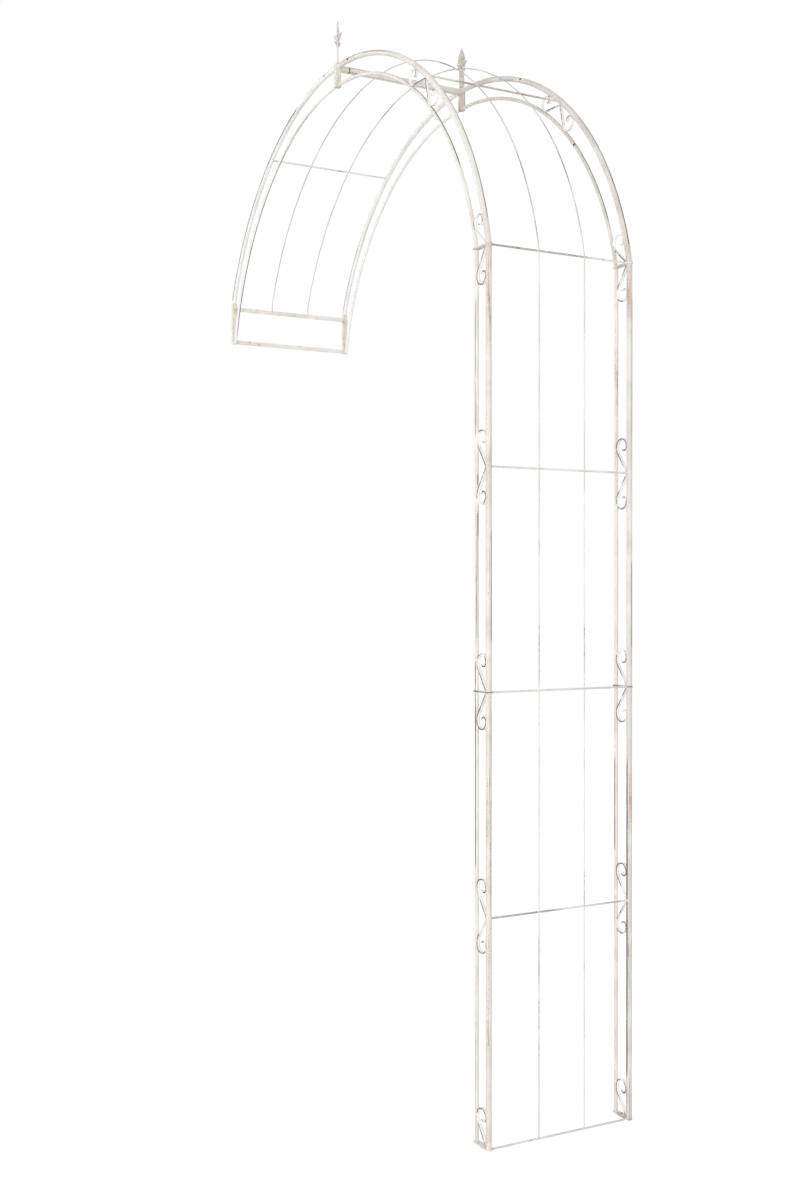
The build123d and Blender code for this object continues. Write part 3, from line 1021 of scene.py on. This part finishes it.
    def scroll_contacts(self, side: str) -> list[Vector]:
        """Find where the scrolls of a ladder touch its rails.

        Args:
            side: near or far.

        Returns:
            The places, each in the middle of the strip's width.
        """
        outer = middle(f"{side}_lower_outer_rail")
        inner = middle(f"{side}_lower_inner_rail")
        outer_contact = outer.x - self.line.rail_radius - self.contact_gap
        inner_contact = inner.x + self.line.bar_radius + self.contact_gap
        spots = []
        for scroll, ways in LEG_SCROLLS.items():
            low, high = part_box(f"{side}_{scroll}_scroll")
            start = root = (low.z + high.z) / 2
            if len(ways) == 1:
                start = low.z if ways[0] > 0 else high.z
                root = start + self.root_tack_offset * ways[0]
            spots.append(Vector((outer_contact, outer.y, root)))
            for way in ways:
                spots.append(Vector((inner_contact, inner.y, start + way * self.inner_tack_offset)))
        return spots


@dataclass
class ArchLadders:
    """Curved ladders of the arch, with their scrolls."""

    line: ArchLine
    bead: float = 0.0018
    bead_lift: float = 0.25
    landing_share: float = 0.8
    landing_inset: float = 0.002
    landing_tack: Triple = (0.001, 0.016, 0.005)
    scroll_width: float = 0.006
    dark_reach: float = 0.050
    chip_offset: float = 0.065
    chip_side: Pair = (0.5, -0.87)
    near_chip_radius: float = 0.0056
    far_chip_radius: float = 0.0036
    far_tube_chip: float = 1.152
    far_bar_chip: float = 0.719

    def dress(self) -> bpy.types.Material:
        """Paint the tubes, bars and scrolls.

        Returns:
            The paint of the tubes, which the beads also get.
        """
        # Lit and shaded copies of one cream paint: the wall quarter's near-white coats are painted light, as
        # if the lamps burned those tubes out to white, and the far leg's darker coats are painted shade.
        painted_light_wall_coats = (shade(245, 243, 241), shade(237, 234, 231))
        looks = {
            ("near", "wall"): (painted_light_wall_coats, 0.67),
            ("far", "wall"): (painted_light_wall_coats, 0.67),
            ("near", "leg"): ((shade(232, 228, 223), shade(217, 211, 205)), 0.64),
            ("far", "leg"): ((shade(223, 218, 211), shade(206, 199, 191)), 0.63),
        }
        for (side, quarter), (coats, rub_level) in looks.items():
            tube_paint = paint(
                [f"{side}_{quarter}_{piece}" for piece in ("arch_outer_tube", "arch_inner_bar")],
                RailPaint(
                    f"{side}_{quarter}_tube_paint",
                    *coats,
                    run=Run.ROUND_ARCH,
                    centre=self.line.hub,
                    rub_level=rub_level,
                    chip_level=0.80,
                    marks=self.chips(side) + self.worn_lines(quarter),
                ),
            )
        strip = partial(DarkStripEdges, self.line.rows["far"], self.scroll_width / 2)
        rod = middle("leg_arch_rod")
        edges = {
            "arch_start_scroll": (strip(bare_level=0.50),),
            "arch_scroll": (
                strip(bare_level=0.57),
                strip(bare_level=0.30, place=(rod.x, rod.z), reach=self.dark_reach),
            ),
        }
        # The near-white coats are painted light: the strip's faces drawn as bright as if the lamps burned
        # them out to white.
        painted_light_scroll_coats = (shade(249, 247, 244), shade(239, 235, 229))
        for scroll, marks in edges.items():
            finish = ScrollPaint(f"{scroll}_paint", *painted_light_scroll_coats, rub_level=0.67, marks=marks)
            paint(both(scroll), finish)
        return tube_paint

    def chips(self, side: str) -> tuple[DarkSpot, ...]:
        """Give the chips in one ladder's tubes and bars.

        Args:
            side: near or far.

        Returns:
            The marks.
        """
        post = middle(f"{side}_crown_post").x
        if side == "near":
            size = self.near_chip_radius
            beside = (post - self.chip_offset, post + self.chip_offset)
            places = [("outer", self.line.angle_at_x(self.line.radius, x)) for x in beside]
        else:
            size = self.far_chip_radius
            places = [("outer", self.far_tube_chip), ("inner", self.far_bar_chip)]
        marks = []
        for rail, angle in places:
            out, along = (share * self.line.thickness[rail] for share in self.chip_side)
            spot = self.line.point(self.line.paths[rail] + out, angle)
            marks.append(DarkSpot((spot.x, self.line.rows[side] + along, spot.z), size))
        return tuple(marks)

    def worn_lines(self, quarter: str) -> tuple[WornFlank, ...]:
        """Give the lines along which the paint of one quarter's tubes and bars is gone.

        Args:
            quarter: wall or leg.

        Returns:
            The marks.
        """
        # Ladder, tube or bar, outward side, first and last place along the arch, strength and width
        lines = {
            "wall": (
                ("near", "outer", (0.10, -0.99), 1.30, 2.06, 0.90, 1.5),
                ("near", "outer", (0.49, -0.87), 1.08, 1.32, 0.50, 1.0),
                ("near", "inner", (-0.67, 0.74), 1.25, 1.95, 0.95, 2.0),
                ("far", "outer", (0.10, -0.99), 1.70, 2.06, 0.60, 1.4),
            ),
            "leg": (
                ("near", "outer", (0.49, -0.87), 0.80, 1.14, 0.50, 1.0),
                ("near", "outer", (0.90, 0.43), 0.16, 0.78, 0.70, 1.0),
                ("near", "inner", (0.90, 0.43), 0.30, 0.90, 0.90, 2.0),
                ("near", "inner", (0.98, 0.10), 0.42, 0.72, 0.80, 1.4),
                ("far", "outer", (0.90, 0.43), 0.14, 1.00, 0.90, 1.6),
                ("far", "inner", (0.90, 0.43), 0.20, 0.92, 0.90, 1.8),
            ),
        }
        bent = {"run": Run.ROUND_ARCH, "centre": self.line.hub}
        marks = []
        for side, rail, outward, *stretch in lines[quarter]:
            axis = (self.line.paths[rail], self.line.rows[side])
            marks.append(WornFlank(axis, outward, self.line.thickness[rail], *stretch, **bent))
        return tuple(marks)

    def weld(self, material: bpy.types.Material) -> None:
        """Lay the beads at the springing plates, the crown posts and the wall frame.

        Args:
            material: finish of the beads.
        """
        beads = WeldBeads()
        lift = self.bead_lift * self.bead
        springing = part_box("near_springing_plate")[1].z
        inner = self.line.inner_radius
        shift_out, tack_length, tack_width = self.landing_tack
        for side in SIDES:
            post = middle(f"{side}_crown_post")
            half = half_size(f"{side}_crown_post").x + lift
            row = ACROSS * post.y
            for rail, path in self.line.paths.items():
                angles = [self.line.angle_at_height(path, springing + lift)]
                angles += [self.line.angle_at_x(path, post.x + way * half) for way in (-1, 1)]
                for angle in angles:
                    place = self.line.point(path, angle) + row
                    beads.ring(place, self.line.heading(angle), self.line.thickness[rail], self.bead)
            landing = middle(f"{side}_wall_upright")
            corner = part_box(f"{side}_wall_upright")[1]
            top = Vector((landing.x, landing.y, corner.z + lift))
            beads.ring(top, UP, self.line.rail_radius, self.landing_share * self.bead)
            end = self.line.angle_at_x(inner, corner.x + self.landing_inset)
            contact = self.line.point(inner, end) + row
            beads.tack(contact + TO_LEG * shift_out, UP, tack_length, tack_width)
        finish_piece("arch_tube_beads", beads.shape, material, Body.ARCH, Slot.FRAME)


@dataclass
class Lattice:
    """Cross rods between the ladders and the long wires on the outside of the rods."""

    line: ArchLine
    end_bead: float = 0.0018
    bead_lift: float = 0.3
    wire_tack: float = 0.0026
    tack_stretch: float = 1.6
    contact_gap: float = 0.0001

    def dress(self) -> bpy.types.Material:
        """Paint the rods and wires.

        Returns:
            The paint of the rods, which the beads also get.
        """
        bare_runs = {
            "lower_rod": WornRun(-0.18, -0.03),
            "springing_rod": WornRun(-0.18, 0.04),
            "leg_arch_rod": WornRun(-0.08, 0.10),
        }
        rod_paint = paint(
            [rod for rod in RODS if rod not in bare_runs],
            RodPaint("rod_paint", rub_level=0.58, chip_level=0.70),
        )
        for rod, bare_run in bare_runs.items():
            finish = RodPaint(
                f"worn_{rod}_paint",
                iron=shade(98, 84, 66),
                rub_level=0.57,
                chip_level=0.69,
                marks=(bare_run,),
            )
            paint([rod], finish)
        leg_coats = (shade(229, 227, 223), shade(204, 201, 196))
        arch_coats = (shade(214, 211, 207), shade(182, 178, 173))
        groups = {
            "leg": (["lower_wires", "upper_wires"], Run.UPRIGHT, leg_coats),
            "arch": (["leg_arch_wires", "wall_arch_wires"], Run.ROUND_ARCH, arch_coats),
        }
        for group, (wires, run, coats) in groups.items():
            finish = RubbedPaint(
                f"{group}_wire_paint",
                *coats,
                undercoat=shade(150, 140, 134),
                run=run,
                centre=self.line.hub,
                patch_stretch=7.0,
                rub_level=0.57,
            )
            paint(wires, finish)
        return rod_paint

    def weld(self, material: bpy.types.Material) -> None:
        """Lay beads at the ends of the rods and tacks where the wires cross them.

        Args:
            material: finish of the beads.
        """
        beads = WeldBeads()
        lift = self.bead_lift * self.end_bead
        leg_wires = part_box("lower_wires")
        wire_rows = (leg_wires[0].y + self.line.wire_radius, leg_wires[1].y - self.line.wire_radius)
        for rod in RODS:
            low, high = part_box(rod)
            axis = (low + high) / 2
            for y in (low.y + lift, high.y - lift):
                beads.ring(Vector((axis.x, y, axis.z)), ACROSS, self.line.rod_radius, self.end_bead)
            outward = (axis - self.line.centre).normalized() if "arch" in rod else TO_LEG
            for y in wire_rows:
                place = Vector((axis.x, y, axis.z)) + outward * (self.line.rod_radius + self.contact_gap)
                beads.tack(place, ACROSS, self.tack_stretch * self.wire_tack, self.wire_tack)
        finish_piece("rod_beads", beads.shape, material, Body.ARCH, Slot.WIRE)


@dataclass
class Crown:
    """Posts and cross bar at the top of the arch, and the finials on the posts."""

    near_turn: float = -26.0
    far_turn: float = 60.0
    socket_length: float = 0.023
    socket_line: float = 0.0017
    worn_corner_excess: float = 0.05
    bead: float = 0.0024
    bead_lift: float = 0.2

    def dress(self) -> bpy.types.Material:
        """Paint the posts and the cross bar.

        Returns:
            The paint of the posts, which the beads also get.
        """
        low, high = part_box("far_crown_post")
        axis = middle("far_crown_post")
        corner = WornFlank(
            (axis.x, axis.y),
            (1.0, 1.0),
            half_size("far_crown_post").x,
            low.z - self.worn_corner_excess,
            high.z + self.worn_corner_excess,
            strength=0.55,
        )
        post_paint = paint(
            both("crown_post"),
            SquareBarPaint(
                "post_paint",
                coat=shade(222, 216, 203),
                dull_coat=shade(204, 194, 176),
                rub_level=0.61,
                chip_level=0.74,
                run=Run.UPRIGHT,
                patch_stretch=3.0,
                streak_share=0.30,
                marks=(corner,),
            ),
        )
        near_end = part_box("crown_crossbar")[0].y
        socket = DarkLine("Y", near_end + self.socket_length, self.socket_line)
        paint(
            ["crown_crossbar"],
            SquareBarPaint(
                "crossbar_paint",
                coat=shade(232, 227, 217),
                dull_coat=shade(216, 208, 194),
                rub_level=0.62,
                chip_level=0.76,
                run=Run.CROSSWISE,
                patch_stretch=4.0,
                streak_share=0.40,
                marks=(socket,),
            ),
        )
        return post_paint

    def build_finials(self) -> None:
        """Build the two finials, each turned as it stands in the photograph."""
        leaf_coats = (shade(216, 211, 200), shade(190, 184, 170))
        leaf_paint = RubbedPaint(
            "leaf_paint", *leaf_coats, rub_level=0.57, chip_level=0.70, patch=0.010, grain=0.0018
        )
        near_coats = (shade(232, 232, 225), shade(216, 214, 204))
        sound_petals = PetalPaint("near_petal_paint", *near_coats, rub_level=0.60, chip_level=0.70)
        # The far petals are rubbed and chipped more than the near ones: partly brown wear, partly painted
        # shade that makes them read dark against the leaf.
        far_worn_and_shaded_coats = (shade(236, 231, 222), shade(200, 188, 174))
        worn_and_shaded_petals = PetalPaint("far_petal_paint", *far_worn_and_shaded_coats, rub_level=0.48, chip_level=0.60)
        finials = (
            (Finial("near", self.near_turn, Body.NEAR_FINIAL), sound_petals),
            (Finial("far", self.far_turn, Body.FAR_FINIAL), worn_and_shaded_petals),
        )
        leaf_material = leaf_paint.material()
        for finial, petal_paint in finials:
            finial.build_blade(leaf_material)
            finial.build_petals(petal_paint.material())

    def weld(self, material: bpy.types.Material) -> None:
        """Lay beads where the cross bar meets the posts.

        Args:
            material: finish of the beads.
        """
        beads = WeldBeads()
        lift = self.bead_lift * self.bead
        low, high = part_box("crown_crossbar")
        half = half_size("crown_crossbar")
        centre = middle("crown_crossbar")
        for seat in (low.y + lift, high.y - lift):
            for side in (-1, 1):
                flank = Vector((centre.x + side * half.x, seat, centre.z))
                beads.seam(flank, UP, 2 * half.z, self.bead)
                deck = Vector((centre.x, seat, centre.z + side * half.z))
                beads.seam(deck, TO_LEG, 2 * half.x, self.bead)
        finish_piece("crossbar_beads", beads.shape, material, Body.ARCH, Slot.FRAME)


@dataclass
class Finial:
    """Spear-leaf finial that turns on a pin in the top of its post."""

    side: str
    turn: float
    body: Body
    turning_gap: float = 0.0003
    stem_width: float = 0.013
    stem_height: float = 0.042
    leaf_width: float = 0.020
    leaf_height: float = 0.060
    widest_share: float = 0.33
    ridge: float = 0.004
    leaf_ridge: float = 0.0095
    leaf_edge: float = 0.0016
    tip_thickness: float = 0.0014
    tip_radius: float = 0.0005
    edge_round: float = 0.0004
    petal_length: float = 0.019
    petal_width: float = 0.0150
    petal_root_width: float = 0.0078
    petal_widest_share: float = 0.55
    petal_tip_share: float = 0.47
    petal_thickness: float = 0.0016
    petal_thinning: float = 0.5
    petal_lean: float = 14.0
    petal_curl: float = 66.0
    petal_cup: float = 0.0018
    petal_turn: float = 24.0
    petal_pitch: float = 0.006
    side_root: float = 0.003
    pin_radius: float = 0.004
    pin_length: float = 0.028

    def stand(self) -> Matrix:
        """Give the finial's place and turn, with its foot on top of the post.

        Returns:
            The matrix that puts the finial there.
        """
        post = middle(f"{self.side}_crown_post")
        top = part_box(f"{self.side}_crown_post")[1].z
        return Matrix.Translation((post.x, post.y, top)) @ Matrix.Rotation(math.radians(self.turn), 4, "Z")

    def half_width(self, height: float) -> float:
        """Give the outline of the stem and leaf.

        Args:
            height: height above the post.

        Returns:
            Half the width there.
        """
        share = (height - self.stem_height) / self.leaf_height
        if share <= 0:
            return self.stem_width / 2
        if share < self.widest_share:
            swell = math.sin(share / self.widest_share * math.pi / 2)
            return (self.stem_width + (self.leaf_width - self.stem_width) * swell) / 2
        taper = (share - self.widest_share) / (1 - self.widest_share)
        return max(self.leaf_width / 2 * math.cos(taper * math.pi / 2), self.tip_radius)

    def half_thickness(self, height: float, across: float) -> float:
        """Give the section of the flat stem and the ridged leaf.

        Args:
            height: height above the post.
            across: share of the half width.

        Returns:
            Half the thickness there.
        """
        share = max(0.0, (height - self.stem_height) / self.leaf_height)
        swell = min(1.0, share / self.widest_share)
        ridge = self.ridge + (self.leaf_ridge - self.ridge) * swell
        taper = max(0.0, share - self.widest_share) / (1 - self.widest_share)
        ridge += (self.tip_thickness - ridge) * taper
        edge = self.ridge + (self.leaf_edge - self.ridge) * swell
        return (ridge + (min(edge, ridge) - ridge) * abs(across)) / 2

    def blade_place(self, across: float, along: float, through: float) -> Vector:
        """Give the place of a point of the stem and leaf.

        Args:
            across: share of the half width.
            along: share of the height.
            through: -1 on one face and 1 on the other.

        Returns:
            The place, before the finial is turned.
        """
        height = self.turning_gap + along * (self.stem_height + self.leaf_height - self.turning_gap)
        depth = through * self.half_thickness(height, across)
        return Vector((across * self.half_width(height), depth, height))

    def petal_heading(self, share: float) -> float:
        """Give the lean of a petal off the vertical, in radians, at a share of its length."""
        return math.radians(self.petal_lean + self.petal_curl * share**2)

    def petal_path(self, share: float, steps: int = 20) -> Pair:
        """Follow the curl of a petal.

        Args:
            share: share of the petal's length.
            steps: number of straight steps.

        Returns:
            How far out and how far up that is from the root.
        """
        stride = share * self.petal_length / steps
        headings = [self.petal_heading(share * (step + 0.5) / steps) for step in range(steps)]
        return stride * sum(map(math.sin, headings)), stride * sum(map(math.cos, headings))

    def petal_half_width(self, share: float) -> float:
        """Give the outline of a petal: narrow at its root, with a round tip.

        Args:
            share: share of the petal's length.

        Returns:
            Half the width there.
        """
        past_widest = share - self.petal_widest_share
        if past_widest < 0:
            swell = math.sin(share / self.petal_widest_share * math.pi / 2)
            return (self.petal_root_width + (self.petal_width - self.petal_root_width) * swell) / 2
        return self.petal_width / 2 * math.sqrt(1 - (past_widest / self.petal_tip_share) ** 2)

    def petal_place(
        self, root: Vector, outward: Vector, across: float, along: float, through: float
    ) -> Vector:
        """Give the place of a point of a petal.

        Args:
            root: where the petal leaves the stem.
            outward: way that it leans.
            across: share of its half width.
            along: share of its length.
            through: -1 on its inner face and 1 on its outer face.

        Returns:
            The place, before the finial is turned.
        """
        out, up = self.petal_path(along)
        heading = self.petal_heading(along)
        face = outward * math.cos(heading) - UP * math.sin(heading)
        half_thickness = self.petal_thickness / 2 * (1 - self.petal_thinning * across**2)
        skin = through * half_thickness - self.petal_cup * across**2
        width = across * self.petal_half_width(along)
        return root + outward * out + UP * up + UP.cross(outward) * width + face * skin

    def build_blade(self, material: bpy.types.Material) -> None:
        """Build the stem, leaf and pin.

        Args:
            material: their finish.
        """
        shape = bmesh.new()
        blade = slab(shape, columns=12, rows=48, place=self.blade_place)
        bevel_sharp(shape, blade, self.edge_round)
        sink = Matrix.Translation((0.0, 0.0, (self.turning_gap - self.pin_length) / 2))
        pin = bmesh.ops.create_cone(
            shape,
            cap_ends=True,
            segments=28,
            radius1=self.pin_radius,
            radius2=self.pin_radius,
            depth=self.pin_length + self.turning_gap,
            matrix=sink,
        )["verts"]
        bevel_sharp(shape, pin, self.edge_round)
        bmesh.ops.transform(shape, matrix=self.stand(), verts=shape.verts)
        name = f"{self.side}_finial"
        leaf = finish_piece(f"{name}_leaf", shape, material, self.body, Slot.FINIAL)
        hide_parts(name)

    def build_petals(self, material: bpy.types.Material) -> None:
        """Build the four petals that climb round the foot of the leaf.

        Args:
            material: their finish.
        """
        shape = bmesh.new()
        turn = Matrix.Rotation(math.radians(self.petal_turn), 3, "Z")
        roots = ((-TO_LEG, self.side_root), (-ACROSS, 0.0), (TO_LEG, self.side_root), (ACROSS, 0.0))
        for step, (side, start) in enumerate(roots):
            root = side * start + UP * (self.stem_height + step * self.petal_pitch)
            slab(shape, columns=8, rows=14, place=partial(self.petal_place, root, turn @ side))
        bmesh.ops.transform(shape, matrix=self.stand(), verts=shape.verts)
        finish_piece(f"{self.side}_finial_petals", shape, material, self.body, Slot.FINIAL)


@dataclass
class WallFrame:
    """Small frame that is screwed to the wall."""

    edge_radius: float = 0.0014
    bead: float = 0.0024
    bead_lift: float = 0.2
    bars: tuple[str, str] = ("wall_upper_bar", "wall_lower_bar")

    def dress(self) -> bpy.types.Material:
        """Paint the uprights and bars.

        Returns:
            The paint of the bars, which the beads also get.
        """
        upright_coats = (shade(225, 219, 208), shade(210, 201, 188))
        upright_paint = PlatePaint(
            "wall_upright_paint", *upright_coats, edge_radius=self.edge_radius, rub_level=0.59
        )
        paint(both("wall_upright"), upright_paint)
        bar_coats = (shade(237, 232, 225), shade(225, 218, 208))
        bar_paint = PlatePaint(
            "wall_bar_paint", *bar_coats, edge_radius=self.edge_radius, rub_level=0.65, chip_level=0.82
        )
        return paint(list(self.bars), bar_paint)

    def weld(self, material: bpy.types.Material) -> None:
        """Lay beads where the bars meet the uprights.

        Args:
            material: finish of the beads.
        """
        beads = WeldBeads()
        lift = self.bead_lift * self.bead
        for bar in self.bars:
            low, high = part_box(bar)
            for y in (low.y + lift, high.y - lift):
                beads.seam(Vector((high.x, y, (low.z + high.z) / 2)), UP, high.z - low.z, self.bead)
        finish_piece("wall_frame_beads", beads.shape, material, Body.ARCH, Slot.FRAME)


@dataclass
class Spigots:
    """Steel spigots hidden in the tubes."""

    def dress(self) -> None:
        """Give the spigots bare steel."""
        paint(["joint_spigots"], DullSteel("spigot_steel"))


@dataclass
class Studio:
    """White studio: floor, soft light and the camera at the photograph's viewing angle."""

    camera_offset: Triple = (2.3609, -1.6471, 1.1142)
    yaw: float = -61.65
    pitch: float = -0.41
    roll: float = -0.03
    focal_pixels: float = 1401.9
    frame_pixels: float = 1200.0
    film_height: float = 36.0
    floor_reach: float = 9.0
    floor_colour: Colour = (0.86, 0.86, 0.85, 1.0)
    shadow_colour: Colour = (0.16, 0.16, 0.16, 1.0)
    floor_glow: float = 0.93
    sky_strength: float = 0.62
    arch_middle: Triple = (0.0, 0.0, 1.3)
    arch_top: Triple = (0.0, 0.0, 2.3)

    def camera(self) -> None:
        """Set up the camera."""
        yaw, pitch, roll = (math.radians(turn) for turn in (self.yaw, self.pitch, self.roll))
        forward = Vector((math.sin(yaw) * math.cos(pitch), math.cos(yaw) * math.cos(pitch), math.sin(pitch)))
        level = Vector((math.cos(yaw), -math.sin(yaw), 0.0))
        upward = level.cross(forward)
        right = level * math.cos(roll) + upward * math.sin(roll)
        upward = upward * math.cos(roll) - level * math.sin(roll)
        data = bpy.data.cameras.new("photo_camera")
        data.sensor_fit = "VERTICAL"
        data.sensor_height = self.film_height
        data.lens = self.film_height * self.focal_pixels / self.frame_pixels
        camera = bpy.data.objects.new("photo_camera", data)
        turn = Matrix((right, upward, -forward)).transposed().to_4x4()
        leg = Vector((middle("near_lower_outer_rail").x, 0.0, 0.0))
        camera.matrix_world = Matrix.Translation(leg + Vector(self.camera_offset)) @ turn
        bpy.context.scene.collection.objects.link(camera)
        bpy.context.scene.camera = camera

    def lamp(self, name: str, place: Triple, target: Triple, size: float, power: float) -> None:
        """Hang a soft square lamp.

        Args:
            name: name of the lamp.
            place: where it hangs.
            target: where it points.
            size: length of its sides.
            power: its power in watts.
        """
        data = bpy.data.lights.new(name, "AREA")
        data.shape = "SQUARE"
        data.size = size
        data.energy = power
        lamp = bpy.data.objects.new(name, data)
        turn = (Vector(target) - Vector(place)).to_track_quat("-Z", "Y").to_matrix().to_4x4()
        lamp.matrix_world = Matrix.Translation(place) @ turn
        lamp.visible_camera = False
        bpy.context.scene.collection.objects.link(lamp)

    def backdrop_share(self, graph: NodeGraph) -> Socket:
        """Tell the rays that show the backdrop itself from those that light the object.

        Args:
            graph: nodes of the floor or the sky.

        Returns:
            1 for the rays that show the backdrop and 0 for the others.
        """
        path = graph.add("ShaderNodeLightPath")
        seen = graph.sum("MAXIMUM", path.outputs["Is Camera Ray"], path.outputs["Is Glossy Ray"])
        return graph.sum("MAXIMUM", seen, path.outputs["Is Transmission Ray"])

    def sky(self) -> None:
        """Light the object softly from all round, before a white backdrop."""
        world = bpy.data.worlds.new("studio")
        world.use_nodes = True
        bpy.context.scene.world = world
        graph = NodeGraph(world.node_tree)
        background = world.node_tree.nodes["Background"]
        background.inputs["Color"].default_value = (1.0, 1.0, 1.0, 1.0)
        strength = graph.range(self.backdrop_share(graph), self.sky_strength, 1.0)
        world.node_tree.links.new(strength, background.inputs["Strength"])

    def floor(self) -> None:
        """Lay a white floor that keeps a soft shadow."""
        material = bpy.data.materials.new("floor")
        material.use_nodes = True
        tree = material.node_tree
        graph = NodeGraph(tree)
        tree.nodes.remove(tree.nodes["Principled BSDF"])
        cast = graph.add("ShaderNodeBsdfDiffuse", {"Color": self.shadow_colour}).outputs[0]
        glow = graph.add("ShaderNodeEmission", {"Strength": self.floor_glow}).outputs[0]
        shown = graph.add("ShaderNodeAddShader", {0: cast, 1: glow}).outputs[0]
        plain = graph.add("ShaderNodeBsdfDiffuse", {"Color": self.floor_colour}).outputs[0]
        mixed = graph.add("ShaderNodeMixShader", {0: self.backdrop_share(graph), 1: plain, 2: shown})
        tree.links.new(mixed.outputs[0], tree.nodes["Material Output"].inputs["Surface"])
        shape = bmesh.new()
        bmesh.ops.create_grid(shape, x_segments=2, y_segments=2, size=self.floor_reach)
        mesh = bpy.data.meshes.new("floor")
        shape.to_mesh(mesh)
        shape.free()
        mesh.materials.append(material)
        floor = bpy.data.objects.new("floor", mesh)
        bpy.context.scene.collection.objects.link(floor)

    def build(self) -> None:
        """Set up the camera, backdrop, floor and lamps."""
        bpy.context.scene.view_settings.view_transform = "Standard"
        self.camera()
        self.sky()
        self.floor()
        self.lamp("key", (6.3, -7.0, 2.2), self.arch_middle, size=3.6, power=280.0)
        self.lamp("bounce", (3.8, -3.2, 0.8), self.arch_top, size=1.6, power=36.0)
        self.lamp("fill", (5.2, 6.8, 4.0), self.arch_middle, size=4.0, power=50.0)
        self.lamp("back", (-7.2, -3.2, 4.6), self.arch_middle, size=4.0, power=110.0)


def main() -> None:
    """Build the sub-assemblies in order, then the studio; each new piece is trimmed to the CAD model's box.
    """
    logging.basicConfig(level=logging.INFO, format="%(message)s")
    noise.seed_set(BEAD_SEED)
    line = ArchLine()
    crown = Crown()
    for assembly in (LegPanels(line), ArchLadders(line), Lattice(line), crown):
        assembly.weld(assembly.dress())
    crown.build_finials()
    wall_frame = WallFrame()
    wall_frame.weld(wall_frame.dress())
    Spigots().dress()
    Studio().build()


if __name__ == "__main__":
    main()
